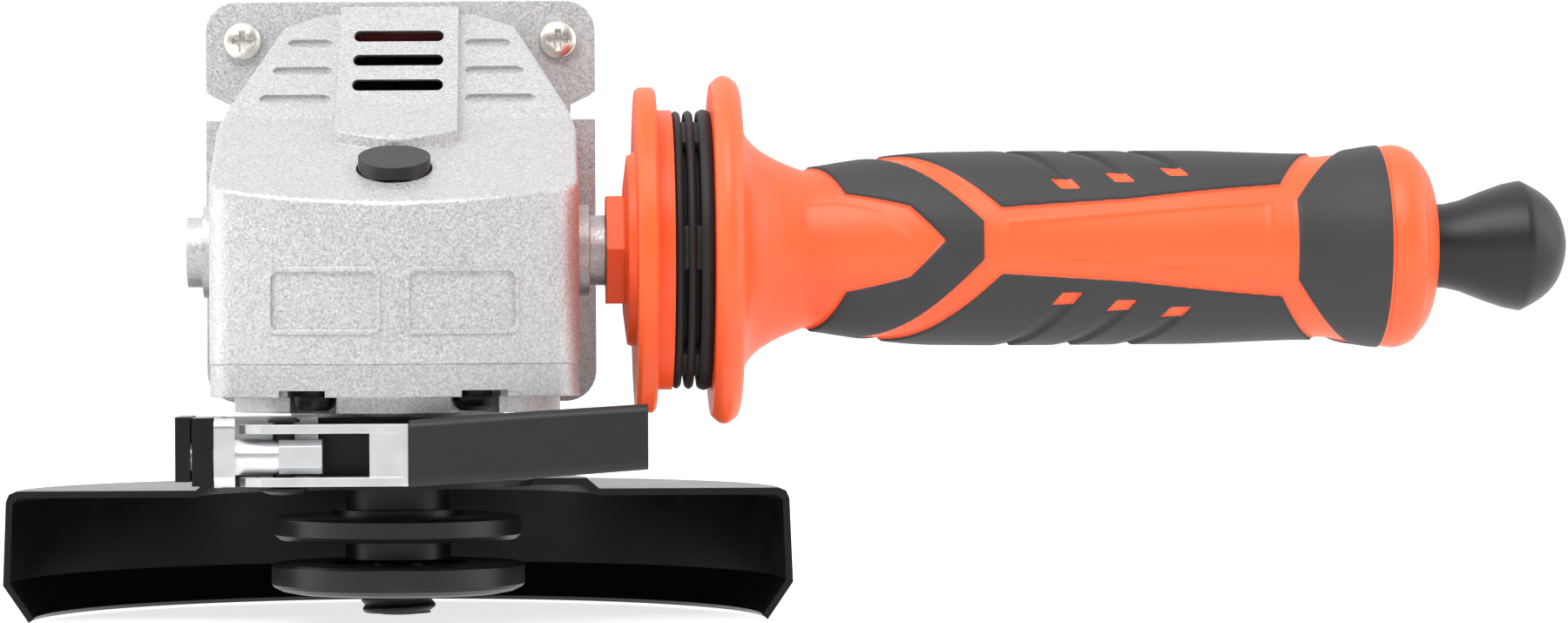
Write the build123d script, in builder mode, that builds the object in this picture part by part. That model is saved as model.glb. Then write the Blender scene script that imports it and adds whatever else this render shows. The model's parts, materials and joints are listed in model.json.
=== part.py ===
"""Angle grinder for 125 mm wheels, built as an assembly of separate parts.

Millimetres. The spindle turns about Z, the motor lies along +Y, the nose points to -Y and the
side handle points to +X. Heights below are counted from the wheel seat, the lower face of the
inner flange. The stored parts are RISE higher, which puts the origin on the spindle axis in the
middle of the free thread below the lock nut.
"""
import os
from math import acos, cos, pi, sin, tan, atan2, hypot, radians, degrees
from build123d import *

os.makedirs("parts", exist_ok=True)

# ---- driving dimensions -------------------------------------------------------------------
MOTOR_Z = 64.5          # height of the motor axis above the wheel seat
HANDLE_Z = 54.0         # height of the side handle axis
PANEL_Z = 44.5          # centre of the two nose panels
NOSE_W = 34.0           # half width of the gear head
NOSE_Y = -34.0          # front of the gear head on the centre line
SHOULDER_Y = -25.0      # where its shallow front arc would meet the straight sides
FLANGE_HALF_W = 38.3    # rear square flange, half width
FLANGE_HALF_H = 39.4    # rear square flange, half height
FLANGE_Y0, FLANGE_Y1 = 40.0, 46.0
COVER_Z0, COVER_Z1 = 27.0, 33.0
NECK_R = 20.0           # collar that the guard clamps on
RUN = 0.05              # radial running clearance
GAP = 0.35              # clearance between parts that move past each other

TEETH_GEAR, TEETH_PINION, MODULE = 37, 11, 1.25
PRESSURE = radians(25)
R_GEAR = TEETH_GEAR * MODULE / 2
R_PINION = TEETH_PINION * MODULE / 2
FACE = 5.5              # tooth length along the pitch cone
LOCK_R = 13.5           # radius of the ring of lock holes in the gear
PIN_R = 2.4             # lock pin radius
BUTTON_Y = -16.0        # centre of the lock button
BUTTON_R = 6.7
LOCK_TRAVEL = 3.5

RISE = 12.0             # from the wheel seat to the origin
SPINDLE_THREAD_R = 7.0  # M14, at the free end
THREAD_CORE_R = 6.0     # the same thread's root, where the nut is screwed on
SEAT_R = 7.6            # plain seat of the inner flange, above the thread
FLANGE_R = 23.3
NUT_R = 23.8
GUARD_R = 73.6
GUARD_T = 1.3
GUARD_CUT_Y = -3.0

PIVOT_X, PIVOT_Y = -19.8, -34.5   # clamp lever pivot
CLAMP_Z = 16.4

MOTOR_R = 37.2
MOTOR_Y1 = 152.0
REAR_Y1 = 262.0
SLIDE_TRAVEL = 7.0

MOTOR_AXIS = Axis((0, 0, MOTOR_Z), (0, 1, 0))
HANDLE_AXIS = Axis((0, 0, HANDLE_Z), (1, 0, 0))


# ---- helpers --------------------------------------------------------------------------------
def save(part, name):
    part = part.moved(Location((0, 0, RISE)))
    part.label = name
    export_step(part, f"parts/{name}.step")


def lathe_z(points):
    """Solid turned about Z from (radius, z) points."""
    with BuildPart() as p:
        with BuildSketch(Plane.XZ):
            with BuildLine():
                Polyline(*points, close=True)
            make_face()
        revolve(axis=Axis.Z)
    return p.part


def lathe_motor(points):
    """Solid turned about the motor axis from (y, radius) points."""
    with BuildPart() as p:
        with BuildSketch(Plane.YZ):
            with BuildLine():
                Polyline(*[(y, MOTOR_Z + r) for y, r in points], close=True)
            make_face()
        revolve(axis=MOTOR_AXIS)
    return p.part


def lathe_handle(points):
    """Solid turned about the side handle axis from (x, radius) points."""
    with BuildPart() as p:
        with BuildSketch(Plane.XZ):
            with BuildLine():
                Polyline(*[(x, HANDLE_Z + r) for x, r in points], close=True)
            make_face()
        revolve(axis=HANDLE_AXIS)
    return p.part


def box(x0, x1, y0, y1, z0, z1):
    with BuildPart() as p:
        with Locations(((x0 + x1) / 2, (y0 + y1) / 2, (z0 + z1) / 2)):
            Box(x1 - x0, y1 - y0, z1 - z0)
    return p.part


def rod(start, direction, r, length):
    """Cylinder from a start point along a direction."""
    with BuildPart() as p:
        with BuildSketch(Plane(origin=start, z_dir=direction)):
            Circle(r)
        extrude(amount=length)
    return p.part


def bearing(name, bore, outer, width, turned, start):
    """Ball bearing: two grooved races and a ring of balls, saved as three nodes.

    turned() makes a solid from (along, radius) points; start is where it begins on its axis.
    """
    mid, ball = (bore + outer) / 2, (outer - bore) * 0.29
    a, b, c = start, start + width / 2, start + width
    gap = (outer - bore) * 0.19
    groove = ball + 0.03

    def race(r_wall, r_track, side):
        """Half profile with a groove of the ball's radius centred on the pitch circle."""
        depth = abs(r_track - mid)
        reach = (groove ** 2 - depth ** 2) ** 0.5
        steps = [b - reach + 2 * reach * i / 8 for i in range(9)]
        track = [(t, mid + side * (groove ** 2 - (t - b) ** 2) ** 0.5 if 0 < i < 8 else r_track)
                 for i, t in enumerate(steps)]
        return turned([(a, r_wall), (a, r_track)] + track + [(c, r_track), (c, r_wall)])

    save(race(bore, mid - gap, -1), name + "_inner")
    save(race(outer, mid + gap, 1), name + "_outer")
    along = turned is lathe_motor
    count = int(2 * pi * mid / (2.35 * ball))
    with BuildPart() as balls:
        for i in range(count):
            t = 2 * pi * i / count
            where = ((mid * cos(t), b, MOTOR_Z + mid * sin(t)) if along
                     else (mid * cos(t), mid * sin(t), b))
            with Locations(where):
                Sphere(ball * 0.985)
    save(balls.part, name + "_balls")


def turned_z(points):
    return lathe_z([(r, t) for t, r in points])


def coil(r, wire, height, turns):
    """Helical spring of round wire about Z, its first loop centred on the origin."""
    with BuildPart() as p:
        with BuildLine() as path:
            Helix(pitch=height / turns, height=height, radius=r)
        with BuildSketch(Plane(origin=path.line @ 0, z_dir=path.line % 0)):
            Circle(wire)
        sweep(is_frenet=True)
    return p.part


# ---- bevel gears ------------------------------------------------------------------------------
def tooth_outline(teeth, cone):
    """Flank points (across, up) of one tooth at the large end, on its back cone."""
    r_pitch = teeth * MODULE / 2 / cos(cone)
    r_base = r_pitch * cos(PRESSURE)
    inv = lambda a: tan(a) - a
    half = pi * MODULE / 4 - 0.07
    lo, hi = r_pitch - 1.45 * MODULE, r_pitch + 0.85 * MODULE
    right = []
    for i in range(8):
        rho = lo + (hi - lo) * i / 7
        a = acos(min(1.0, r_base / rho))
        t = half / r_pitch + inv(PRESSURE) - inv(a)
        right.append((rho * sin(t), rho * cos(t) - r_pitch))
    return right + [(-x, y) for x, y in reversed(right)]


def tooth(teeth, cone):
    """One straight bevel tooth beside the X axis, cone apex at the origin, opening to -Z."""
    reach = hypot(R_GEAR, R_PINION)
    u = Vector(sin(cone), 0, -cos(cone))
    outline = tooth_outline(teeth, cone)
    with BuildPart() as p:
        for far in (reach, reach - FACE):
            k = far / reach
            with BuildSketch(Plane(origin=u * far, x_dir=(0, 1, 0), z_dir=u)):
                with BuildLine():
                    Polyline(*[(x * k, y * k) for x, y in outline], close=True)
                make_face()
        loft(ruled=True)
    return p.part


def toothed_cone(teeth, cone, first, body):
    """Gear blank from (radius, z) points with its ring of teeth, apex at the origin."""
    one = tooth(teeth, cone)
    with BuildPart() as p:
        add(lathe_z(body))
        add([one.rotate(Axis.Z, first + 360 * i / teeth) for i in range(teeth)])
    return p.part


def root_points(teeth, cone):
    """Outer and inner ends of the root cone as (radius, z)."""
    reach = hypot(R_GEAR, R_PINION)
    d = 1.12 * MODULE
    out = (reach * sin(cone) - d * cos(cone), -reach * cos(cone) - d * sin(cone))
    k = (reach - FACE) / reach
    return out, (out[0] * k, out[1] * k)


def make_gears():
    cone = atan2(R_GEAR, R_PINION)
    (ro, zo), (ri, zi) = root_points(TEETH_GEAR, cone)
    web = -9.0
    blank = [(6.5, -18.0), (11.0, -18.0), (11.0, -14.0), (ro - 1.2, -14.0), (ro, -13.0), (ro, zo),
             (ri, zi), (ri - 0.6, web), (10.6, web), (10.0, -8.0), (6.5, -8.0)]
    with BuildPart() as gear:
        add(toothed_cone(TEETH_GEAR, cone, 90, blank))
        for i in range(4):
            t = radians(-90 + 90 * i)
            with Locations((LOCK_R * cos(t), LOCK_R * sin(t), web - 2.5)):
                Cylinder(PIN_R + 0.45, 12, mode=Mode.SUBTRACT)
    save(gear.part.moved(Location((0, 0, MOTOR_Z))), "bevel_gear")

    cone = pi / 2 - cone
    (ro, zo), (ri, zi) = root_points(TEETH_PINION, cone)
    blank = [(3.0, zi + 0.4), (ri - 0.5, zi + 0.4), (ri, zi), (ro, zo), (ro + 0.4, zo - 1.2),
             (6.2, zo - 1.6), (6.2, -29.6), (3.0, -29.6)]
    pinion = toothed_cone(TEETH_PINION, cone, -90 + 180 / TEETH_PINION, blank)
    save(pinion.rotate(Axis.X, 90).moved(Location((0, 0, MOTOR_Z))), "bevel_pinion")


# ---- gear head --------------------------------------------------------------------------------
def nose_plan(z, grow=0.0):
    """Plan of the head at a height: straight sides, a shallow arc across the front, round corners."""
    w = NOSE_W + grow
    with BuildSketch() as plan:
        with BuildLine():
            Polyline((-w, SHOULDER_Y), (-w, 42), (w, 42), (w, SHOULDER_Y))
            ThreePointArc((-w, SHOULDER_Y), (0, NOSE_Y - grow), (w, SHOULDER_Y))
        make_face()
        fillet(plan.vertices().filter_by(lambda v: v.Y < 0), 7.0)
    return plan.sketch.moved(Location((0, 0, z)))


def head_body():
    """Outer shape of the cast head: plan outline, side profile and front outline intersected."""
    with BuildPart() as p:
        extrude(nose_plan(COVER_Z1), amount=80)
        with BuildSketch(Plane.YZ.offset(-60)):
            with BuildLine():
                Polyline((-36, 20), (-36, 60.6), (-33.2, 62.8), (-23.0, 66.2), (8.5, 79.4),
                         (39.5, 101.0), (46, 102.0), (46, 20), close=True)
            make_face()
        extrude(amount=120, mode=Mode.INTERSECT)
        with BuildSketch(Plane.XZ.offset(-60)):
            with BuildLine():
                Polyline((-NOSE_W - 1, 20), (-NOSE_W - 1, 74.0), (-NOSE_W + 1.4, 81.0), (-22.5, 98.6))
                ThreePointArc((-22.5, 98.6), (0, 102.8), (22.5, 98.6))
                Polyline((22.5, 98.6), (NOSE_W - 1.4, 81.0), (NOSE_W + 1, 74.0), (NOSE_W + 1, 20),
                         (-NOSE_W - 1, 20))
            make_face()
        extrude(amount=120, mode=Mode.INTERSECT)
        fillet(p.edges().filter_by(lambda e: e.center().Z > COVER_Z1 + 1), 1.0)
    return p.part


def flange_sketch(grow=0.0):
    RectangleRounded(2 * (FLANGE_HALF_W + grow), 2 * (FLANGE_HALF_H + grow), 6.0)


def flange_notches(y0, y1):
    """The two gaps below the upper corners of the flange, as one solid to cut away."""
    with BuildPart() as p:
        for side in (-1, 1):
            with BuildSketch(Plane(origin=(0, y1, 0), x_dir=(1, 0, 0), z_dir=(0, -1, 0))):
                with BuildLine():
                    Polyline((side * 33.3, 80.6), (side * 42, 80.6), (side * 42, 86.6),
                             (side * 38.3, 86.2), (side * 33.6, 84.0), close=True)
                make_face()
            extrude(amount=y1 - y0)
    return p.part


def vent_boss():
    """Raised boss down the middle of the sloping deck, ending in a rounded lip."""
    with BuildPart() as p:
        with BuildSketch(Plane.YZ.offset(-11.6)):
            with BuildLine():
                Polyline((-6.6, 71.6), (-6.6, 74.9), (-5.8, 75.6), (9.0, 82.4), (38.0, 102.6),
                         (44, 103.0), (44, 96), (30, 90), (10, 76), (2, 71.6), close=True)
            make_face()
        extrude(amount=23.2)
        with BuildSketch(Plane.XY.offset(60)):
            with BuildLine():
                Polyline((-11.6, -3.6), (-11.6, 50), (11.6, 50), (11.6, -3.6))
                ThreePointArc((-11.6, -3.6), (0, -6.6), (11.6, -3.6))
            make_face()
        extrude(amount=60, mode=Mode.INTERSECT)
    return p.part


def make_gear_housing():
    screws = [(sx * 31.0, MOTOR_Z + sz * 31.6) for sx in (-1, 1) for sz in (-1, 1)]
    with BuildPart() as housing:
        add(head_body())
        # square rear flange
        with BuildSketch(Plane(origin=(0, FLANGE_Y0, MOTOR_Z), x_dir=(1, 0, 0), z_dir=(0, 1, 0))):
            flange_sketch()
        extrude(amount=FLANGE_Y1 - FLANGE_Y0)
        add(flange_notches(FLANGE_Y0 - 0.5, FLANGE_Y1 + 1), mode=Mode.SUBTRACT)
        # round bosses for the side handle, both sides
        for side in (-1, 1):
            add(rod((side * 25, 0, HANDLE_Z), (side, 0, 0), 6.6, 14.2))
            add(rod((side * 25, 0, HANDLE_Z), (side, 0, 0), 8.6, 11.2))
        add(vent_boss())
        # two raised panels on the nose front
        for x in (-12.6, 12.6):
            with BuildSketch(Plane.XZ.offset(20)):
                with Locations((x, PANEL_Z)):
                    RectangleRounded(20.8, 12.2, 1.8)
            extrude(amount=16, mode=Mode.ADD)
    body = housing.part
    with BuildPart() as housing:
        add(body)
        # keep the panels to a thin raised skin that follows the nose
        with BuildSketch(Plane.XY.offset(20)) as outside:
            with Locations((0, -60)):
                Rectangle(56, 120)
            add(nose_plan(0, 0.35), mode=Mode.SUBTRACT)
        extrude(outside.sketch, amount=100, mode=Mode.SUBTRACT)
        # gear chamber, pinion tunnel, bush pocket, bearing seat
        add(lathe_z([(0, COVER_Z1 - 1), (25.5, COVER_Z1 - 1), (25.5, 60.4), (8.2, 60.4), (8.2, 67.0),
                     (0, 67.0)]), mode=Mode.SUBTRACT)
        add(rod((0, 0, 66), (0, 0, 1), 6.6, 8.2), mode=Mode.SUBTRACT)
        add(rod((0, 6, MOTOR_Z), (0, 1, 0), 9.0, 30), mode=Mode.SUBTRACT)
        add(rod((0, 30, MOTOR_Z), (0, 1, 0), 11.0, 7), mode=Mode.SUBTRACT)
        add(rod((0, 36.9, MOTOR_Z), (0, 1, 0), 12.6, 2.4), mode=Mode.SUBTRACT)
        # rear recess for the air baffle and the air duct behind the vent slots
        add(rod((0, 39.2, MOTOR_Z), (0, 1, 0), 33.6, 10), mode=Mode.SUBTRACT)
        with BuildSketch(Plane.YZ.offset(-15.5)):
            with BuildLine():
                Polyline((22, 80.2), (22, 86.4), (38.5, 97.2), (47, 97.2), (47, 80.2), close=True)
            make_face()
        extrude(amount=31, mode=Mode.SUBTRACT)
        # three through slots in the vent boss
        for z in (86.1, 91.3, 96.4):
            with BuildSketch(Plane.XZ.offset(20)):
                with Locations((0, z)):
                    SlotOverall(17.4, 2.3)
            extrude(amount=-62.5, mode=Mode.SUBTRACT)
        # blind pill recesses beside it
        for side in (-1, 1):
            for z, x1 in ((83.6, 26.4), (89.4, 24.2), (95.2, 21.6)):
                y = (z - 79.4) * 31.0 / 21.6 + 8.5
                with BuildSketch(Plane(origin=(0, y - 0.3, z + 0.4), x_dir=(1, 0, 0), z_dir=(0, -0.572, 0.82))):
                    with Locations((side * (12.9 + x1) / 2, 0)):
                        SlotOverall(x1 - 12.9, 2.9)
                extrude(amount=-1.3, mode=Mode.SUBTRACT)
        # recessed faces of the nose panels
        for x in (-12.6, 12.6):
            with BuildSketch(Plane.XZ.offset(20)):
                with Locations((x, PANEL_Z)):
                    RectangleRounded(19.2, 10.6, 1.3)
            extrude(amount=16, mode=Mode.SUBTRACT)
    body = housing.part
    with BuildPart() as housing:
        add(body)
        # the panel cut goes only as deep as a core that follows the nose
        with BuildSketch(Plane.XY.offset(36)):
            add(nose_plan(0, -0.25))
            Circle(25.5, mode=Mode.SUBTRACT)
            with Locations((0, 30)):
                Rectangle(90, 60, mode=Mode.SUBTRACT)
        extrude(amount=14)
        # lock button well and pin bore
        add(rod((0, BUTTON_Y, 62.8), (0, 0, 1), BUTTON_R + GAP, 20), mode=Mode.SUBTRACT)
        add(rod((0, -LOCK_R, 58), (0, 0, 1), PIN_R + RUN, 10), mode=Mode.SUBTRACT)
        # handle threads
        for side in (-1, 1):
            add(rod((side * 27.4, 0, HANDLE_Z), (side, 0, 0), 4.0, 13), mode=Mode.SUBTRACT)
        # flange and cover screws
        for x, z in screws:
            add(rod((x, 30, z), (0, 1, 0), 2.0, 18), mode=Mode.SUBTRACT)
            add(rod((x, 30, z), (0, 1, 0), 4.3, FLANGE_Y0 - 30), mode=Mode.SUBTRACT)
        for x, y in cover_screw_spots():
            add(rod((x, y, COVER_Z1 - 1), (0, 0, 1), 2.0, 11), mode=Mode.SUBTRACT)
    save(housing.part, "gear_housing")


def cover_screw_spots():
    return [(-14.4, -25.6), (14.4, -25.6), (-27.0, 26.0), (27.0, 26.0)]


def make_gear_cover():
    with BuildPart() as cover:
        extrude(nose_plan(COVER_Z0, -0.1), amount=COVER_Z1 - COVER_Z0)
        add(box(-40, 40, 36, 50, 20, 40), mode=Mode.SUBTRACT)
        with BuildSketch(Plane.XY.offset(24.0)):
            Circle(30.6)
        extrude(amount=3.2)
        add(lathe_z([(10.3, 11.5), (NECK_R - 0.8, 11.5), (NECK_R, 12.3), (NECK_R, 25), (25.4, 25),
                     (25.4, 35.5), (20, 35.5), (20, 43.2), (14.6, 43.2), (14.6, 30), (10.3, 30)]))
        add(rod((0, 0, 33), (0, 0, 1), 16.0, 10), mode=Mode.SUBTRACT)
        add(rod((0, 0, 30), (0, 0, 1), 13.0, 4), mode=Mode.SUBTRACT)
        add(rod((0, 0, 11), (0, 0, 1), 10.3, 40), mode=Mode.SUBTRACT)
        for x, y in cover_screw_spots():
            add(rod((x, y, 20), (0, 0, 1), 2.0, 20), mode=Mode.SUBTRACT)
            add(rod((x, y, 20), (0, 0, 1), 5.0, 8.2), mode=Mode.SUBTRACT)
        for x in (-16.6, 16.6):
            add(box(x - 4.2, x + 4.2, -36, -26, 20, 28.2), mode=Mode.SUBTRACT)
    save(cover.part, "gear_cover")


def pan_head(r, h, shank, length):
    """Pan-head screw pointing to +Z, head under z = 0, with a cross recess."""
    with BuildPart() as p:
        add(lathe_z([(0, -h), (r * 0.62, -h), (r * 0.9, -h * 0.72), (r, -h * 0.3), (r, 0),
                     (shank, 0), (shank, length), (0, length)]))
        for a in (45, 135):
            with Locations(Location((0, 0, -h), (0, 0, a))):
                Box(r * 1.05, r * 0.24, h * 0.9, mode=Mode.SUBTRACT)
    return p.part


def make_screws():
    with BuildPart() as g:
        for x, y in cover_screw_spots():
            add(pan_head(3.8, 2.7, 2.0, 15.0).moved(Location((x, y, 27.2))))
    save(g.part, "cover_screws")
    with BuildPart() as g:
        for x, y in cover_screw_spots():
            add(rod((x, y, 27.2), (0, 0, 1), 3.5, 1.0))
            add(rod((x, y, 27.2), (0, 0, 1), 2.0, 1.0), mode=Mode.SUBTRACT)
            add(box(x + 1.5, x + 4.0, y - 0.2, y + 0.2, 27, 29), mode=Mode.SUBTRACT)
    save(g.part, "spring_washers")
    one = pan_head(3.8, 2.6, 2.0, 17.0).rotate(Axis.X, -90)
    with BuildPart() as g:
        for sx in (-1, 1):
            for sz in (-1, 1):
                add(one.moved(Location((sx * 31.0, FLANGE_Y0, MOTOR_Z + sz * 31.6))))
    save(g.part, "flange_screws")


# ---- spindle group ------------------------------------------------------------------------------
def make_spindle():
    save(lathe_z([(0, -14.2), (6.2, -14.2), (SPINDLE_THREAD_R, -13.4), (SPINDLE_THREAD_R, -10.6),
                  (THREAD_CORE_R, -10.5), (THREAD_CORE_R, -4.2), (SEAT_R, -4.2), (SEAT_R, 5.6),
                  (9.7, 5.6), (9.7, 29.5), (8.0, 29.5), (8.0, 33.0), (6.0, 33.0), (6.0, 46.5),
                  (6.5, 46.5), (6.5, 57.5), (4.9, 57.5), (4.9, 67.2), (4.0, 67.2), (4.0, 73.4),
                  (3.4, 74.0), (0, 74.0)]), "spindle")
    save(lathe_z([(4.0 + RUN, 67.4), (6.6, 67.4), (6.6, 74.2), (4.0 + RUN, 74.2)]), "spindle_bush")
    save(lathe_z([(6.5, 56.5), (8.4, 56.5), (8.4, 57.5), (6.5, 57.5)]), "gear_ring")
    save(lathe_z([(9.7 + GAP, 30.1), (13.0, 30.1), (13.0, 32.9), (9.7 + GAP, 32.9)]), "felt_seal")
    save(lathe_z([(6.0, 43.0), (9.6, 43.0), (9.6, 46.5), (6.0, 46.5)]), "spacer_ring")
    bearing("spindle_bearing", 6.0, 16.0, 10.0, turned_z, 33.0)


def make_wheel_parts():
    with BuildPart() as f:
        add(lathe_z([(SEAT_R, -4.2), (9.4, -4.2), (9.95, -3.7), (9.95, 0.5), (18.0, 0.5), (18.0, 0),
                     (FLANGE_R - 1.0, 0), (FLANGE_R, 0.9), (FLANGE_R, 3.8), (FLANGE_R - 0.7, 4.4),
                     (12.3, 4.4), (12.3, 5.6), (SEAT_R, 5.6)]))
    save(f.part, "inner_flange")
    with BuildPart() as n:
        add(lathe_z([(THREAD_CORE_R, -10.2), (NUT_R - 4.6, -10.2), (NUT_R - 2.0, -9.7), (NUT_R - 0.5, -9.0),
                     (NUT_R, -8.4), (NUT_R, -5.0), (NUT_R - 0.5, -4.5), (14.0, -4.5), (13.6, -5.2),
                     (THREAD_CORE_R, -5.2)]))
        for sx in (-1, 1):
            add(rod((sx * 17.5, 0, -11), (0, 0, 1), 2.5, 3.8), mode=Mode.SUBTRACT)
    save(n.part, "lock_nut")


# ---- spindle lock ---------------------------------------------------------------------------------
def make_lock():
    web = MOTOR_Z - 9.0
    with BuildPart() as b:
        add(rod((0, BUTTON_Y, 66.6), (0, 0, 1), BUTTON_R, 12))
        with BuildSketch(Plane.YZ.offset(-10)):
            with BuildLine():
                Polyline((-30, 66.3), (-30, 90), (-2, 90), (-2, 76.2), close=True)
            make_face()
        extrude(amount=20, mode=Mode.SUBTRACT)
        add(rod((0, -LOCK_R, 66), (0, 0, 1), 4.4, 1.8), mode=Mode.SUBTRACT)
        add(rod((0, -LOCK_R, 66), (0, 0, 1), PIN_R, 4.6), mode=Mode.SUBTRACT)
    save(b.part, "lock_button")
    save(lathe_z([(0, web + 0.7), (PIN_R - 0.5, web + 0.7), (PIN_R, web + 1.3), (PIN_R, 70.6),
                  (0, 70.6)]).moved(Location((0, -LOCK_R, 0))), "lock_pin")
    save(coil(3.35, 0.3, 4.1, 3.0).moved(Location((0, -LOCK_R, 63.2))), "lock_spring")


# ---- motor ------------------------------------------------------------------------------------------
def make_armature():
    save(lathe_motor([(17.4, 0), (17.4, 2.6), (17.8, 3.0), (29.6, 3.0), (29.6, 4.0), (37.2, 4.0), (37.2, 5.0), (138.5, 5.0),
                      (138.5, 3.5), (149.2, 3.5), (149.8, 3.0), (149.8, 0)]), "armature_shaft")
    with BuildPart() as core:
        add(lathe_motor([(68, 5.0), (68, 19.5), (113, 19.5), (113, 5.0)]))
        for i in range(12):
            with Locations(Location((0, 90.5, MOTOR_Z), (0, 30 * i, 0))):
                with Locations((0, 0, 15.2)):
                    Box(3.2, 50, 5.6, mode=Mode.SUBTRACT)
                with Locations((0, 0, 19.0)):
                    Box(1.4, 50, 3.0, mode=Mode.SUBTRACT)
    save(core.part, "armature_core")
    with BuildPart() as w:
        add(lathe_motor([(60.5, 8.0), (60.5, 15.5), (63, 17.6), (68, 17.6), (68, 6.0), (62, 6.0)]))
        add(lathe_motor([(113, 6.0), (113, 17.6), (118, 17.6), (120, 15.0), (120, 8.0), (119, 6.0)]))
        for i in range(12):
            with Locations(Location((0, 90.5, MOTOR_Z), (0, 30 * i, 0))):
                with Locations((0, 0, 15.2)):
                    Box(2.9, 46, 4.8)
    save(w.part, "armature_winding")
    with BuildPart() as c:
        add(lathe_motor([(121.5, 5.0), (121.5, 12.0), (123.2, 12.0), (123.2, 10.5), (136.5, 10.5),
                         (136.5, 5.0)]))
        for i in range(24):
            with Locations(Location((0, 129.5, MOTOR_Z), (0, 15 * i, 0))):
                with Locations((0, 0, 11.3)):
                    Box(0.35, 18, 2.6, mode=Mode.SUBTRACT)
    save(c.part, "commutator")
    with BuildPart() as fan:
        add(lathe_motor([(48.6, 5.0), (48.6, 8.5), (55, 9.5), (55.6, 30.2), (57.2, 30.2), (57.2, 5.0)]))
        for i in range(13):
            with Locations(Location((0, 52.6, MOTOR_Z), (0, 360 / 13 * i, 0))):
                with Locations(Location((0, 0, 20.3), (0, 0, 14))):
                    Box(1.6, 6.4, 19.2)
    save(fan.part, "fan")
    bearing("front_bearing", 4.0, 11.0, 7.0, lathe_motor, 30.0)
    bearing("rear_bearing", 3.5, 9.5, 6.0, lathe_motor, 142.0)
    save(lathe_motor([(142, 9.5), (142, 11.5), (149, 11.5), (149, 9.5)]), "bearing_boot")


def make_baffle():
    with BuildPart() as b:
        add(lathe_motor([(41.2, 20.0), (41.2, 33.6), (46.0, 33.6), (46.0, 20.0)]))
        add(lathe_motor([(42.0, 12.0), (42.0, 22.0), (44.0, 22.0), (44.0, 12.0)]))
        add(box(-15.2, 15.2, 42.6, 46.0, MOTOR_Z + 28, 96.8))
        for z in (86.6, 91.6):
            add(box(-12, 12, 40, 48, z, z + 2.2), mode=Mode.SUBTRACT)
    save(b.part, "air_baffle")


def make_stator():
    with BuildPart() as s:
        add(lathe_motor([(67, 19.5 + 0.5), (67, 32.0), (114, 32.0), (114, 19.5 + 0.5)]))
        for side in (-1, 1):
            for x in (-1, 1):
                add(box(min(x * 17, x * 27), max(x * 17, x * 27), 60, 120,
                        MOTOR_Z + (6 if side > 0 else -16), MOTOR_Z + (16 if side > 0 else -6)),
                    mode=Mode.SUBTRACT)
    save(s.part, "stator_core")
    with BuildPart() as c:
        for side in (-1, 1):
            for x in (-1, 1):
                add(box(min(x * 21.4, x * 26), max(x * 21.4, x * 26), 61, 120,
                        MOTOR_Z + (6.6 if side > 0 else -15.4), MOTOR_Z + (15.4 if side > 0 else -6.6)))
            for y0 in (61, 114.6):
                add(box(-21.4, 21.4, y0, y0 + 5.4, MOTOR_Z + (20.0 if side > 0 else -26),
                        MOTOR_Z + (26 if side > 0 else -20.0)))
                for x in (-1, 1):
                    add(box(min(x * 21.4, x * 26), max(x * 21.4, x * 26), y0, y0 + 5.4,
                            MOTOR_Z + (6.6 if side > 0 else -22), MOTOR_Z + (22 if side > 0 else -6.6)))
    save(c.part, "field_coils")


def make_motor_housing():
    with BuildPart() as h:
        with BuildSketch(Plane(origin=(0, FLANGE_Y1, MOTOR_Z), x_dir=(1, 0, 0), z_dir=(0, 1, 0))):
            flange_sketch(-0.6)
        extrude(amount=5.0)
        add(flange_notches(FLANGE_Y1 - 0.5, FLANGE_Y1 + 5.5), mode=Mode.SUBTRACT)
        for sx in (-1, 1):
            for sz in (-1, 1):
                add(rod((sx * 31.0, FLANGE_Y1, MOTOR_Z + sz * 31.6), (0, 1, 0), 4.6, 16))
        add(lathe_motor([(FLANGE_Y1, 20), (FLANGE_Y1, MOTOR_R), (140, MOTOR_R), (MOTOR_Y1, 33.5),
                         (MOTOR_Y1, 20)]))
        add(lathe_motor([(45.9, 0), (45.9, 34.6), (66.9, 34.6), (66.9, 32.0), (114.2, 32.0),
                         (114.2, 34.6), (139, 34.6), (153, 30.6), (153, 0)]), mode=Mode.SUBTRACT)
        add(lathe_motor([(139.0, 9.0), (139.0, 35.0), (141.8, 34.6), (141.8, 14.0), (149.0, 14.0),
                         (149.0, 11.5), (142.0, 11.5), (142.0, 9.0)]))
        # air openings in the bearing wall
        for i in range(6):
            with Locations(Location((0, 140, MOTOR_Z), (0, 60 * i + 30, 0))):
                with Locations((0, 0, 23)):
                    Box(9, 8, 12, mode=Mode.SUBTRACT)
        # cooling slots through the side walls
        for side in (-1, 1):
            for i in range(5):
                y = 118.5 + 4.2 * i
                for z in (-17, 17):
                    add(box(min(side * 26, side * 40), max(side * 26, side * 40), y, y + 2.2,
                            MOTOR_Z + z - 6, MOTOR_Z + z + 6), mode=Mode.SUBTRACT)
            add(rod((side * 20, 129.5, MOTOR_Z), (side, 0, 0), 6.6, 30), mode=Mode.SUBTRACT)
        for sx in (-1, 1):
            for sz in (-1, 1):
                add(rod((sx * 31.0, FLANGE_Y1 - 1, MOTOR_Z + sz * 31.6), (0, 1, 0), 2.0, 13.6),
                    mode=Mode.SUBTRACT)
    save(h.part, "motor_housing")


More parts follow.
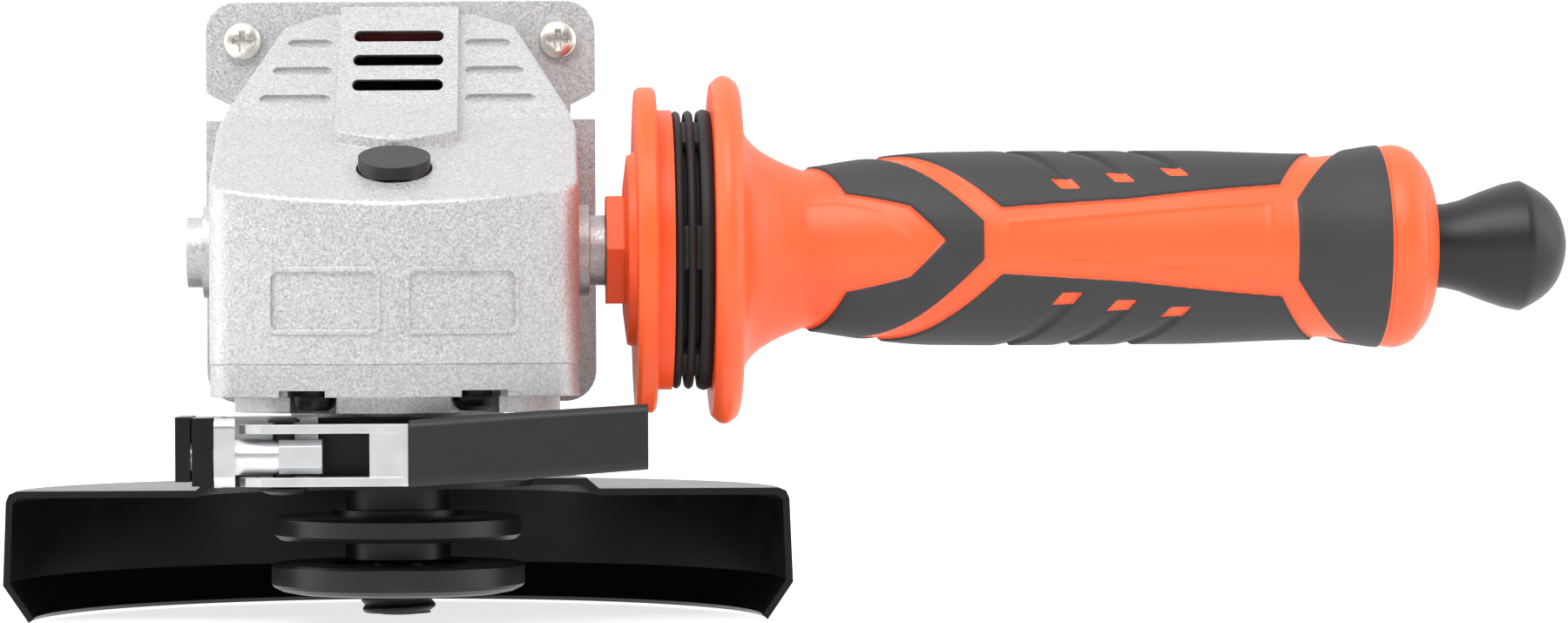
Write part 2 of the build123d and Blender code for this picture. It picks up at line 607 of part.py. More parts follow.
def make_brushes():
    y = 129.5
    with BuildPart() as holders:
        for s in (-1, 1):
            add(rod((s * 12.6, y, MOTOR_Z), (s, 0, 0), 6.6, 21.6))
            lo, hi = sorted((s * 12, s * 40))
            add(box(lo, hi, y - 4.05, y + 4.05, MOTOR_Z - 2.55, MOTOR_Z + 2.55), mode=Mode.SUBTRACT)
    save(holders.part, "brush_holders")
    with BuildPart() as carbon:
        for s in (-1, 1):
            lo, hi = sorted((s * 10.9, s * 23.0))
            add(box(lo, hi, y - 4.0, y + 4.0, MOTOR_Z - 2.5, MOTOR_Z + 2.5))
    save(carbon.part, "carbon_brushes")
    with BuildPart() as springs:
        for s in (-1, 1):
            add(coil(1.9, 0.3, 10.2, 6).rotate(Axis.Y, s * 90).moved(Location((s * 23.4, y, MOTOR_Z))))
    save(springs.part, "brush_springs")
    with BuildPart() as caps:
        for s in (-1, 1):
            add(rod((s * 34.2, y, MOTOR_Z), (s, 0, 0), 6.6, 3.6))
            lo, hi = sorted((s * 36.8, s * 39))
            add(box(lo, hi, y - 5, y + 5, MOTOR_Z - 0.7, MOTOR_Z + 0.7), mode=Mode.SUBTRACT)
    save(caps.part, "brush_caps")


# ---- rear grip ------------------------------------------------------------------------------------------
def grip_loft(inset):
    sections = [(MOTOR_Y1, 33.4, 33.4), (172, 30.5, 31.5), (205, 28.0, 29.5), (240, 29.0, 30.5),
                (REAR_Y1, 24.0, 25.0)]
    with BuildPart() as p:
        for i, (y, a, b) in enumerate(sections):
            if inset and i in (0, len(sections) - 1):
                y += -0.5 if i == 0 else -2.6
            with BuildSketch(Plane(origin=(0, y, MOTOR_Z), x_dir=(1, 0, 0), z_dir=(0, -1, 0))):
                Ellipse(a - inset, b - inset)
        loft()
    return p.part


def make_rear_grip():
    slot = (-3.6, 3.6, 163.0, 184.0, MOTOR_Z + 20, MOTOR_Z + 40)
    with BuildPart() as shell:
        add(grip_loft(0.0))
        add(grip_loft(2.6), mode=Mode.SUBTRACT)
        add(rod((0, 250, MOTOR_Z), (0, 1, 0), 11.8, 12))
        add(rod((0, 252, MOTOR_Z), (0, 1, 0), 9.4, 5), mode=Mode.SUBTRACT)
        add(rod((0, 249, MOTOR_Z), (0, 1, 0), 7.0, 20), mode=Mode.SUBTRACT)
        add(box(*slot), mode=Mode.SUBTRACT)
        # tongues that hold the switch
        for z in (-1, 1):
            lo, hi = sorted((MOTOR_Z + z * 11.2, MOTOR_Z + z * 27))
            add(box(-14, 14, 206, 209, lo, hi))
        for i in range(6):
            y = 156.5 + 3.6 * i
            for s in (-1, 1):
                lo, hi = sorted((s * 22, s * 40))
                add(box(lo, hi, y, y + 1.8, MOTOR_Z - 9, MOTOR_Z + 9), mode=Mode.SUBTRACT)
        spots = [(196.0, MOTOR_Z - 22), (236.0, MOTOR_Z - 21), (236.0, MOTOR_Z + 21)]
        for y, z in spots:
            add(rod((-22, y, z), (1, 0, 0), 4.4, 44))
    whole = shell.part
    for name, s in (("grip_shell_left", -1), ("grip_shell_right", 1)):
        lo, hi = sorted((0.0, s * 60))
        with BuildPart() as half:
            add(whole)
            add(box(lo, hi, 140, 280, 0, 140), mode=Mode.INTERSECT)
            for y, z in spots:
                add(rod((-24, y, z), (1, 0, 0), 1.9, 40), mode=Mode.SUBTRACT)
                add(rod((-40, y, z), (1, 0, 0), 3.6, 24), mode=Mode.SUBTRACT)
        save(half.part, name)
    with BuildPart() as screws:
        for y, z in spots:
            add(pan_head(3.4, 2.2, 1.9, 27.0).rotate(Axis.Y, 90).moved(Location((-16, y, z))))
    save(screws.part, "grip_screws")


def make_switch():
    with BuildPart() as s:
        add(box(-9, 9, 190, 222, MOTOR_Z - 11, MOTOR_Z + 11))
        add(box(-4.5, 4.5, 180, 190.5, MOTOR_Z + 2, MOTOR_Z + 9), mode=Mode.ADD)
        for x in (-5, 5):
            add(box(x - 1.6, x + 1.6, 221.5, 228, MOTOR_Z - 5, MOTOR_Z - 2))
        add(box(-2.6, 2.6, 178, 200, MOTOR_Z + 4, MOTOR_Z + 12), mode=Mode.SUBTRACT)
    save(s.part, "switch_body")
    with BuildPart() as b:
        add(box(-6.5, 6.5, 166.0, 189.0, MOTOR_Z + 33.2, MOTOR_Z + 35.2))
        add(box(-3.2, 3.2, 174.4, 183.4, MOTOR_Z + 25, MOTOR_Z + 33.4))
        for i in range(6):
            add(box(-5.5, 5.5, 168.6 + 3.2 * i, 170.2 + 3.2 * i, MOTOR_Z + 35.0, MOTOR_Z + 36.2))
        fillet(b.edges().filter_by(Axis.Z).filter_by(lambda e: abs(e.center().X) > 6), 1.5)
    save(b.part, "slide_button")
    with BuildPart() as r:
        add(box(-2.2, 2.2, 174.4, 183.4, MOTOR_Z + 4.6, MOTOR_Z + 25))
        add(box(-2.2, 2.2, 183.0, 196.0, MOTOR_Z + 4.6, MOTOR_Z + 8.6))
    save(r.part, "slide_link")


def make_cord_gland():
    save(lathe_motor([(252.0, 4.0), (252.0, 9.4), (257.0, 9.4), (257.0, 7.0), (262.4, 7.0), (262.4, 9.0),
                      (264.4, 8.6), (265.0, 8.0), (265.0, 4.6), (264.4, 4.0)]), "cord_gland")


# ---- guard and its clamp ------------------------------------------------------------------------------------
def make_guard():
    t = GUARD_T
    with BuildPart() as g:
        add(lathe_z([(NECK_R + 0.6, 11.3 - t), (NECK_R + 0.6, 11.3), (35.6, 11.3), (38.0, 9.3),
                     (GUARD_R - 2.0, 9.3), (GUARD_R - 0.6, 8.7), (GUARD_R, 7.3), (GUARD_R + 0.6, -8.4),
                     (GUARD_R - 4.2, -15.4), (GUARD_R - 5.2, -14.6), (GUARD_R - 0.7, -8.0),
                     (GUARD_R - t, 7.0), (GUARD_R - t - 1.0, 9.3 - t), (37.6, 9.3 - t),
                     (35.2, 11.3 - t)]))
        with BuildSketch(Plane.XY.offset(-30)):
            with Locations((0, GUARD_CUT_Y - 60)):
                Rectangle(200, 120)
            Circle(25.5, mode=Mode.SUBTRACT)
        extrude(amount=60, mode=Mode.SUBTRACT)
    save(g.part, "guard")
    with BuildPart() as c:
        add(lathe_z([(NECK_R + RUN, 11.3), (23.0, 11.3), (23.0, 23.0), (NECK_R + RUN, 23.0)]))
        add(box(-36.3, 3, -23.6, -22.2, 11.6, 23.2))
        add(box(-39.2, -3, -21.6, -20.3, 11.6, 23.2))
        add(box(-36.2, -32.4, -38.5, -22.2, 11.2, 23.5))
        add(box(-39.2, -36.5, -38.5, -20.3, 12.0, 23.7))
        add(box(-30, 4, -22.2, -21.6, 5, 30), mode=Mode.SUBTRACT)
        add(rod((-42, PIVOT_Y, CLAMP_Z), (1, 0, 0), 2.5, 12), mode=Mode.SUBTRACT)
    save(c.part, "guard_collar")


def make_clamp():
    with BuildPart() as plate:
        add(box(-32.2, -14.0, -25.2, -23.8, 13.4, 23.6))
        add(box(-32.2, -30.8, -39.0, -23.8, 10.9, 23.6))
        add(box(-32.2, -28.4, -39.0, -37.7, 10.9, 23.6))
        add(rod((-40, PIVOT_Y, CLAMP_Z), (1, 0, 0), 2.5, 12), mode=Mode.SUBTRACT)
        fillet(plate.edges().filter_by(Axis.X).filter_by(lambda e: e.center().Y < -38), 2.0)
    save(plate.part, "clamp_plate")
    with BuildPart() as bolt:
        add(rod((-39.2, PIVOT_Y, CLAMP_Z), (1, 0, 0), 2.5, 12))
        add(rod((-28.6, PIVOT_Y, CLAMP_Z), (1, 0, 0), 3.3, 9))
        add(box(-20.6, -12.8, PIVOT_Y - 3.4, PIVOT_Y + 3.4, CLAMP_Z - 3.1, CLAMP_Z + 3.1))
        chamfer(bolt.edges().filter_by(Axis.X).filter_by(lambda e: e.length > 5), 1.2)
        add(rod((PIVOT_X, PIVOT_Y, 0), (0, 0, 1), 2.0, 30), mode=Mode.SUBTRACT)
    save(bolt.part, "tension_bolt")
    with BuildPart() as pin:
        add(lathe_z([(0, 9.4), (2.6, 9.6), (4.2, 10.2), (4.3, 10.7), (2.0, 10.7), (2.0, 22.6), (2.9, 22.6),
                     (2.9, 23.1), (2.2, 23.4), (0, 23.4)]).moved(Location((PIVOT_X, PIVOT_Y, 0))))
    save(pin.part, "pivot_pin")
    tongue = box(2.6, 30, PIVOT_Y - 1.5, PIVOT_Y + 1.5, 13.8, 20.8)
    with BuildPart() as lever:
        for z in (11.05, 20.6):
            with BuildSketch(Plane.XY.offset(z)):
                with BuildLine():
                    Polyline((-23.6, PIVOT_Y - 4.4), (2.0, PIVOT_Y - 3.6), (2.0, PIVOT_Y + 3.6),
                             (-23.6, PIVOT_Y + 4.4), (-26.6, PIVOT_Y + 3.0), (-27.8, PIVOT_Y + 0.5),
                             (-27.8, PIVOT_Y - 0.5), (-26.6, PIVOT_Y - 3.0), close=True)
                make_face()
            extrude(amount=1.65)
        add(box(-4.2, 2.8, PIVOT_Y - 3.6, PIVOT_Y + 3.6, 11.05, 22.25))
        add(tongue)
        add(rod((PIVOT_X, PIVOT_Y, 0), (0, 0, 1), 2.0 + RUN, 30), mode=Mode.SUBTRACT)
    save(lever.part, "clamp_lever")
    with BuildPart() as sleeve:
        for x, zb, zt in ((2.9, 10.8, 22.9), (24.0, 12.2, 24.3), (46.0, 13.8, 25.6)):
            with BuildSketch(Plane(origin=(x, PIVOT_Y, (zb + zt) / 2), x_dir=(0, 1, 0), z_dir=(1, 0, 0))):
                RectangleRounded(8.2, zt - zb, 1.6)
        loft(ruled=True)
        add(tongue, mode=Mode.SUBTRACT)
    save(sleeve.part, "lever_sleeve")


# ---- side handle ------------------------------------------------------------------------------------------------
def make_side_handle():
    stud = [(28.2, 0), (28.2, 3.3), (28.9, 4.0), (50.0, 4.0), (50.0, 6.0), (53.0, 6.0), (53.0, 4.0),
            (66.0, 4.0), (66.0, 0)]
    save(lathe_handle(stud), "handle_stud")
    with BuildPart() as flange:
        with BuildSketch(Plane.YZ.offset(39.35)):
            with Locations((0, HANDLE_Z)):
                RegularPolygon(11.6, 6)
        extrude(amount=4.2)
        add(lathe_handle([(42.6, 3.9), (42.6, 12.4), (43.3, 17.8), (44.8, 18.4), (44.8, 30.0),
                          (45.6, 30.6), (48.0, 30.6), (48.6, 30.0), (48.6, 26.3), (51.6, 26.3),
                          (51.6, 20.0), (50.0, 18.0), (50.0, 3.9)]))
        add(rod((38, 0, HANDLE_Z), (1, 0, 0), 4.0, 20), mode=Mode.SUBTRACT)
    save(flange.part, "handle_flange")
    ribs = []
    for x in (51.7, 53.9, 56.5):
        ribs += [(x, 23.8), (x + 0.3, 26.0), (x + 1.3, 26.0), (x + 1.6, 23.8)]
    save(lathe_handle([(51.6, 14.0)] + ribs + [(58.9, 23.8), (58.9, 14.0)]), "handle_damper")
    with BuildPart() as core:
        add(lathe_handle([(58.9, 4.0), (58.9, 32.0), (59.6, 32.8), (63.6, 32.8), (64.3, 32.0),
                          (64.3, 23.4), (65.5, 20.6), (68.0, 17.8), (72.0, 15.4), (76.0, 14.0),
                          (86.0, 14.6), (98.0, 15.8), (140, 16.2), (178.0, 15.4), (184.0, 16.6),
                          (185.2, 19.0), (187.2, 19.5), (190.0, 18.6), (193.2, 14.0), (194.2, 10.4),
                          (194.2, 5.2), (120.0, 5.2), (120.0, 0), (66.0, 0), (66.0, 4.0)]))
        add(lathe_handle([(50.0, 6.1), (50.0, 12.0), (59.0, 12.0), (59.0, 4.0), (53.0, 4.0), (53.0, 6.1)]))
    save(core.part, "handle_core")
    skin = [(77.0, 14.2), (80.0, 15.0), (88.0, 16.4), (98.0, 17.8), (112.0, 18.2), (150.0, 18.2),
            (168.0, 17.8), (176.0, 17.0), (180.0, 17.4), (184.2, 18.7)]
    inner = [(184.0, 16.6), (178.0, 15.4), (140, 16.2), (98.0, 15.8), (86.0, 14.6), (77.0, 14.06)]
    save(lathe_handle(skin + inner), "handle_overmould")
    with BuildPart() as key:
        add(lathe_handle([(125.0, 0), (125.0, 3.6), (126, 4.6), (194.6, 4.6), (194.6, 7.8), (198.0, 7.9),
                          (204.0, 10.4), (209.0, 12.1), (212.0, 12.2), (216.0, 10.8), (218.6, 7.6),
                          (219.8, 3.6), (220.0, 0)]))
    save(key.part, "handle_key")


def main():
    make_gears()
    make_gear_housing()
    make_gear_cover()
    make_screws()
    make_spindle()
    make_wheel_parts()
    make_lock()
    make_armature()
    make_baffle()
    make_stator()
    make_motor_housing()
    make_brushes()
    make_rear_grip()
    make_switch()
    make_cord_gland()
    make_guard()
    make_clamp()
    make_side_handle()


main()
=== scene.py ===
"""Finishes and moulded pieces of an angle grinder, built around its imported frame.

Lengths in the tables are in millimetres unless a name says otherwise, angles in degrees.
"""
import json
import math

import bmesh
import bpy
import numpy as np
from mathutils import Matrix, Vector


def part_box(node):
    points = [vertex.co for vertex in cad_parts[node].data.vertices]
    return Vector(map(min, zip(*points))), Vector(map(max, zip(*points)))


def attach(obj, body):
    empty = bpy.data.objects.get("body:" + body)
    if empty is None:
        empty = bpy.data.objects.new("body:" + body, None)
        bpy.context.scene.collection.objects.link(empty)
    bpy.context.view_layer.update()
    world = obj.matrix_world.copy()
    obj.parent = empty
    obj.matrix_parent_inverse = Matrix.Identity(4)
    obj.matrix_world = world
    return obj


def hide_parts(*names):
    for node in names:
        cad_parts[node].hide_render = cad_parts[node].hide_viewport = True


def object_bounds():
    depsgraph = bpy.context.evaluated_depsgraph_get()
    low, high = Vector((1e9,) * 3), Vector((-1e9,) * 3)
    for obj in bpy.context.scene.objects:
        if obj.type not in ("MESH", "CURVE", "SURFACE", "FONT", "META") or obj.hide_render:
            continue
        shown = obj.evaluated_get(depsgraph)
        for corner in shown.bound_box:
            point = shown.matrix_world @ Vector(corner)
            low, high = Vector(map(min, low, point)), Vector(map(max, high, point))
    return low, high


bl_info = {
    "name": "Angle grinder finishes",
    "version": (1, 0, 0),
    "blender": (4, 5, 0),
    "location": "3D View > Sidebar > Grinder",
    "description": "Moulded handle, threaded spindle and finishes of an angle grinder",
    "category": "Object",
}

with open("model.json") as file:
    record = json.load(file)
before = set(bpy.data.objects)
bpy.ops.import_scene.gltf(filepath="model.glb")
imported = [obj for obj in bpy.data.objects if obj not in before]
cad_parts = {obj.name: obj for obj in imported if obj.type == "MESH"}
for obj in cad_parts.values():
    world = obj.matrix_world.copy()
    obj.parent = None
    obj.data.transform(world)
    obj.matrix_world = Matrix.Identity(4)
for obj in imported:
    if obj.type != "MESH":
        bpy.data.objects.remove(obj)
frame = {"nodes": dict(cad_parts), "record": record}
CAD_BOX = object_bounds()
MM = 0.001
HANDLE_Z = sum(c.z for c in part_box("handle_key")) / 2 / MM
SEAT_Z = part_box("inner_flange")[0].z / MM + 4.2
SLOT_OF = {row["node"]: row["material_slot"] for row in frame["record"]["subparts"]}
FINISHED = {}


# ---- shader arithmetic -------------------------------------------------------------------------
class Link:
    """A shader value that takes part in plain arithmetic."""

    def __init__(self, finish, socket):
        self.finish, self.socket = finish, socket

    def _math(self, operation, a, b):
        return self.finish.add("ShaderNodeMath", {"operation": operation}, {0: a, 1: b})

    def __add__(self, other):
        return self._math("ADD", self, other)

    def __radd__(self, other):
        return self._math("ADD", other, self)

    def __sub__(self, other):
        return self._math("SUBTRACT", self, other)

    def __rsub__(self, other):
        return self._math("SUBTRACT", other, self)

    def __mul__(self, other):
        return self._math("MULTIPLY", self, other)

    def __rmul__(self, other):
        return self._math("MULTIPLY", other, self)

    def clamped(self):
        return self.finish.add("ShaderNodeMath", {"operation": "ADD", "use_clamp": True}, {0: self, 1: 0.0})

    def sine(self):
        return self._math("SINE", self, 0.0)


class Finish:
    """One procedural material: a Principled surface and the nodes that vary it."""

    def __init__(self, name, **constants):
        self.material = bpy.data.materials.new(name)
        self.material.use_nodes = True
        self.tree = self.material.node_tree
        self.surface = self.tree.nodes["Principled BSDF"]
        for socket, value in constants.items():
            self.surface.inputs[socket.replace("_", " ")].default_value = value
        self.place = self.add("ShaderNodeTexCoord", out="Object")

    def add(self, kind, settings=None, inputs=None, out=0):
        """Adds a node: its settings, then the values or links of its sockets."""
        node = self.tree.nodes.new(kind)
        for key, value in (settings or {}).items():
            if key == "stops":
                for stop, (at, colour) in zip(node.color_ramp.elements, value):
                    stop.position, stop.color = at, colour
            else:
                setattr(node, key, value)
        for key, value in (inputs or {}).items():
            if isinstance(value, Link):
                self.tree.links.new(value.socket, node.inputs[key])
            else:
                node.inputs[key].default_value = value
        return Link(self, node.outputs[out])

    def feed(self, socket, link):
        self.tree.links.new(link.socket, self.surface.inputs[socket])

    def noise(self, size, detail=3.0, stretch=(1, 1, 1)):
        """Noise from 0 to 1 whose features are about size millimetres across."""
        where = self.add("ShaderNodeMapping", None, {"Vector": self.place, "Scale": stretch})
        return self.add("ShaderNodeTexNoise", None,
                        {"Vector": where, "Scale": 1 / (size * MM), "Detail": detail}, "Fac")

    def flakes(self, size):
        """A random value for each small cell."""
        cells = self.add("ShaderNodeTexVoronoi", None,
                         {"Vector": self.place, "Scale": 1 / (size * MM)}, "Color")
        return self.add("ShaderNodeSeparateColor", None, {"Color": cells}, "Red")

    def distance_from(self, axis, height):
        """Distance from a straight axis, Z through the origin or X at a height, in metres."""
        keep = (1, 1, 0) if axis == "Z" else (0, 1, 1)
        at = self.add("ShaderNodeVectorMath", {"operation": "SUBTRACT"},
                      {0: self.place, 1: (0, 0, height * MM)})
        flat = self.add("ShaderNodeVectorMath", {"operation": "MULTIPLY"}, {0: at, 1: keep})
        return self.add("ShaderNodeVectorMath", {"operation": "LENGTH"}, {0: flat}, "Value")

    def blend(self, mask, a, b):
        """Colour a where the mask is 0 and b where it is 1."""
        colours = {6: a if isinstance(a, Link) else (*a, 1), 7: b if isinstance(b, Link) else (*b, 1)}
        return self.add("ShaderNodeMix", {"data_type": "RGBA"}, {0: mask, **colours}, 2)

    def relief(self, height, depth, edge=0.0):
        """Bumps the surface by height (0 to 1) times depth mm, over edges rounded by edge mm."""
        inputs = {"Height": height, "Distance": depth * MM, "Strength": 1.0}
        if edge:
            inputs["Normal"] = self.add("ShaderNodeBevel", {"samples": 4}, {"Radius": edge * MM})
        self.feed("Normal", self.add("ShaderNodeBump", None, inputs))


def shade(colour, factor):
    return tuple(c * factor for c in colour[:3])


# ---- finishes ----------------------------------------------------------------------------------
def cast_paint(name, colour, darkest=0.70):
    """Silver paint with bright flakes over a fine sand-cast skin."""
    f = Finish(name, Metallic=0.72)
    grain, fine, broad = f.noise(0.55, 3.0), f.noise(0.30, 2.0), f.noise(16.0, 2.0)
    spark = f.flakes(0.30)
    tone = (1.5 * grain + 1.1 * fine + 0.5 * spark - 1.02).clamped()
    f.feed("Base Color", f.blend(tone, shade(colour, darkest), shade(colour, 1.22)))
    f.feed("Roughness", (0.34 + 0.22 * spark + 0.08 * broad).clamped())
    f.relief(grain * 0.55 + spark * 0.45, 0.07, edge=0.35)
    return f.material


def enamel(name, colour):
    """Thick gloss enamel with faint orange peel and a few dust marks."""
    f = Finish(name, Metallic=0.0, Specular_IOR_Level=0.22)
    peel, dust = f.noise(1.4, 2.0), f.noise(6.0, 5.0)
    f.feed("Base Color", f.blend(dust, shade(colour, 0.8), shade(colour, 1.5)))
    f.feed("Roughness", 0.22 + 0.14 * dust)
    f.relief(peel, 0.012, edge=0.3)
    return f.material


def turned_steel(name, colour, rough, pitch, metallic=1.0):
    """Lathe-turned steel: fine rings about the spindle, broken by small scratches."""
    f = Finish(name, Metallic=metallic)
    ring = (f.distance_from("Z", 0) * (2 * math.pi / (pitch * MM))).sine() * 0.5 + 0.5
    haze, fine = f.noise(5.0, 4.0), f.noise(0.3, 2.0)
    f.feed("Base Color", f.blend((haze * 0.5 + ring * 0.5).clamped(), shade(colour, 0.7), shade(colour, 1.5)))
    f.feed("Roughness", (rough + 0.12 * haze + 0.06 * ring).clamped())
    f.relief(ring * 0.7 + fine * 0.3, 0.018, edge=0.25)
    return f.material


def plated(name, colour, rough, stretch=(1, 1, 1)):
    """Plated or ground metal with drifting tone and hairline marks."""
    f = Finish(name, Metallic=1.0)
    cloud, hair = f.noise(4.0, 3.0), f.noise(0.25, 2.0, stretch)
    f.feed("Base Color", f.blend(cloud, shade(colour, 0.82), shade(colour, 1.12)))
    f.feed("Roughness", (rough + 0.16 * cloud + 0.06 * hair).clamped())
    f.relief(hair, 0.006, edge=0.25)
    return f.material


def moulded(name, colour, rough, grain=0.35, depth=0.02, spread=0.12):
    """Moulded plastic with a fine spark-eroded grain."""
    f = Finish(name, Metallic=0.0, Specular_IOR_Level=0.35)
    fine, cloud = f.noise(grain, 3.0), f.noise(18.0, 2.0)
    tone = (fine * 0.4 + cloud * 0.6).clamped()
    f.feed("Base Color", f.blend(tone, shade(colour, 1 - spread), shade(colour, 1 + spread)))
    f.feed("Roughness", (rough + 0.12 * fine).clamped())
    f.relief(fine, depth, edge=0.35)
    return f.material


def wound(name, colour):
    """Enamelled wire laid in close turns."""
    f = Finish(name, Metallic=0.85)
    waves = f.add("ShaderNodeTexWave", {"bands_direction": "Y"},
                  {"Vector": f.place, "Scale": 330.0, "Distortion": 0.6, "Detail": 1.0}, "Fac")
    f.feed("Base Color", f.blend(waves, shade(colour, 0.55), shade(colour, 1.15)))
    f.feed("Roughness", 0.28 + 0.2 * waves)
    f.relief(waves, 0.25)
    return f.material


def felted(name, colour):
    f = Finish(name, Roughness=0.95)
    hairs = f.noise(0.4, 6.0, (1, 1, 3))
    f.feed("Base Color", f.blend(hairs, shade(colour, 0.6), shade(colour, 1.2)))
    f.relief(hairs, 0.2)
    return f.material


def two_shot(name, hard, soft):
    """Hard plastic with a soft skin moulded over it, split by the skin attribute in millimetres; the orange
    is painted darker along the skin's border as painted shade in the step down from the skin.
    """
    f = Finish(name, Metallic=0.0)
    skin = f.add("ShaderNodeAttribute", {"attribute_name": "skin"}, out="Fac")
    mask = (skin * 9.0 + 0.5).clamped()
    # Painted shade: edge is 1 well inside the orange and falls to 0 at the skin's border, where the step down
    # from the raised skin would be in shade.
    edge = (1.0 - (skin * 1.6 + 1.1).clamped()).clamped()
    fine, cloud = f.noise(0.30, 3.0), f.noise(16.0, 2.0)
    tone = (fine * 0.35 + cloud * 0.65).clamped()
    orange = f.blend(tone, shade(hard, 0.94), shade(hard, 1.06))
    # The orange goes down to 0.72 of its colour along the skin's border: painted shade, not a colour of the
    # plastic.
    orange = f.blend(edge * 0.75 + 0.25, shade(hard, 0.72), orange)
    black = f.blend(tone, shade(soft, 0.85), shade(soft, 1.2))
    f.feed("Base Color", f.blend(mask, orange, black))
    f.feed("Roughness", (0.40 + 0.10 * fine + 0.16 * mask).clamped())
    f.relief(fine, 0.015)
    return f.material


def paint_of(slot, colours):
    """The finish of one of the record's material slots."""
    c = colours
    made = {
        "silver_cast": lambda: cast_paint("cast_silver", c.silver),
        "cover_cast": lambda: cast_paint("cover_silver", shade(c.silver, 0.93)),
        "dark_screw": lambda: plated("black_screw", c.blackened, 0.30),
        "nickel_screw": lambda: plated("nickel_screw", c.nickel, 0.20),
        "steel": lambda: plated("ground_steel", c.steel, 0.26, (1, 6, 1)),
        "black_steel": lambda: turned_steel("turned_black", c.blackened, 0.24, 0.55, 0.75),
        "guard_black": lambda: enamel("guard_enamel", c.enamel),
        "zinc": lambda: plated("zinc_plate", c.zinc, 0.24),
        "black_plastic": lambda: moulded("black_moulding", c.black, 0.40),
        "orange_plastic": lambda: moulded("orange_moulding", c.orange, 0.36, 0.4, 0.012, 0.05),
        "black_rubber": lambda: moulded("black_rubber", shade(c.black, 0.75), 0.52, 0.3, 0.02),
        "grey_plastic": lambda: moulded("body_moulding", c.body, 0.44, 0.5, 0.05),
        "red_plastic": lambda: moulded("baffle_moulding", c.baffle, 0.5),
        "copper": lambda: wound("copper_wire", c.copper),
        "bronze": lambda: plated("bronze_bush", c.bronze, 0.36),
        "carbon": lambda: moulded("brush_carbon", shade(c.black, 0.6), 0.55, 0.2, 0.03),
        "felt": lambda: felted("oiled_felt", c.felt),
    }
    if slot not in FINISHED:
        FINISHED[slot] = made[slot]()
    return FINISHED[slot]


# ---- mesh building -----------------------------------------------------------------------------
def object_from(name, verts, faces, sharp=38.0):
    """A shown object with outward faces, smooth but for edges sharper than the angle."""
    mesh = bpy.data.meshes.new(name)
    mesh.from_pydata(verts, [], faces)
    work = bmesh.new()
    work.from_mesh(mesh)
    bmesh.ops.recalc_face_normals(work, faces=work.faces)
    work.to_mesh(mesh)
    work.free()
    return show(name, mesh, sharp)


def show(name, mesh, sharp=38.0):
    mesh.polygons.foreach_set("use_smooth", np.ones(len(mesh.polygons), bool))
    mesh.set_sharp_from_angle(angle=math.radians(sharp))
    made = bpy.data.objects.new(name, mesh)
    bpy.context.scene.collection.objects.link(made)
    return made


def lathe(name, rows, around, axis="X", height=0.0, swell=None, sharp=38.0):
    """Turns (along, radius) rows about an axis; swell(along, angle) adds to the radius.

    A row with radius 0 is a pole. Angle 0 faces -Y and grows towards +Z on X, towards +X on Z.
    """
    angles = np.linspace(0, 2 * math.pi, around, endpoint=False)
    verts, faces, rings = [], [], []
    for along, radius in rows:
        count = 1 if radius == 0 else around
        rings.append((len(verts), count))
        if count == 1:
            points = np.array([[along, 0.0, 0.0]])
        else:
            r = radius + (swell(along, angles) if swell else 0.0)
            points = np.stack([np.full(around, along), -r * np.cos(angles), r * np.sin(angles)], 1)
        if axis == "Z":
            points = points[:, [2, 1, 0]]
        points = (points + np.array([0, 0, height])) * MM
        verts.extend(map(tuple, points))
    for (a, many_a), (b, many_b) in zip(rings, rings[1:]):
        for i in range(around):
            j = (i + 1) % around
            if many_a == 1 and many_b > 1:
                faces.append((a, b + j, b + i))
            elif many_b == 1 and many_a > 1:
                faces.append((a + i, a + j, b))
            elif many_a > 1:
                faces.append((a + i, a + j, b + j, b + i))
    return object_from(name, verts, faces, sharp)


def arc_rows(start, stop, bulge, steps=8):
    """Rows from start to stop, rounded out sideways by bulge."""
    (x0, r0), (x1, r1) = start, stop
    length = math.hypot(x1 - x0, r1 - r0)
    nx, nr = -(r1 - r0) / length, (x1 - x0) / length
    rows = []
    for i in range(steps + 1):
        t = i / steps
        lift = bulge * math.sin(math.pi * t)
        rows.append((x0 + (x1 - x0) * t + nx * lift, r0 + (r1 - r0) * t + nr * lift))
    return rows


def fit(piece, body, slot, *nodes):
    """Puts a piece in place of CAD nodes, on their body."""
    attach(piece, body)
    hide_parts(*nodes)
    return piece


def inside(x, s, outline):
    """Signed distance in mm to a closed outline, positive inside it."""
    px, ps = np.asarray(x, float), np.asarray(s, float)
    nearest = np.full(px.shape, 1e9)
    within = np.zeros(px.shape, bool)
    for (x0, s0), (x1, s1) in zip(outline, outline[1:] + outline[:1]):
        dx, ds = x1 - x0, s1 - s0
        t = np.clip(((px - x0) * dx + (ps - s0) * ds) / (dx * dx + ds * ds), 0, 1)
        nearest = np.minimum(nearest, np.hypot(px - x0 - t * dx, ps - s0 - t * ds))
        crosses = (s0 > ps) != (s1 > ps)
        if ds:
            within ^= crosses & (px < x0 + (ps - s0) * dx / ds)
    return np.where(within, nearest, -nearest)


def step(value, low, high):
    t = np.clip((value - low) / (high - low), 0, 1)
    return t * t * (3 - 2 * t)


# ---- side handle -------------------------------------------------------------------------------
GRIP_OUTLINE = [(77.0, 15.3), (83.6, 16.4), (90.0, 17.3), (98.0, 18.1), (112.0, 18.3), (150.0, 18.2),
                (166.0, 17.6), (172.0, 17.5), (178.0, 18.1), (184.3, 19.2)]
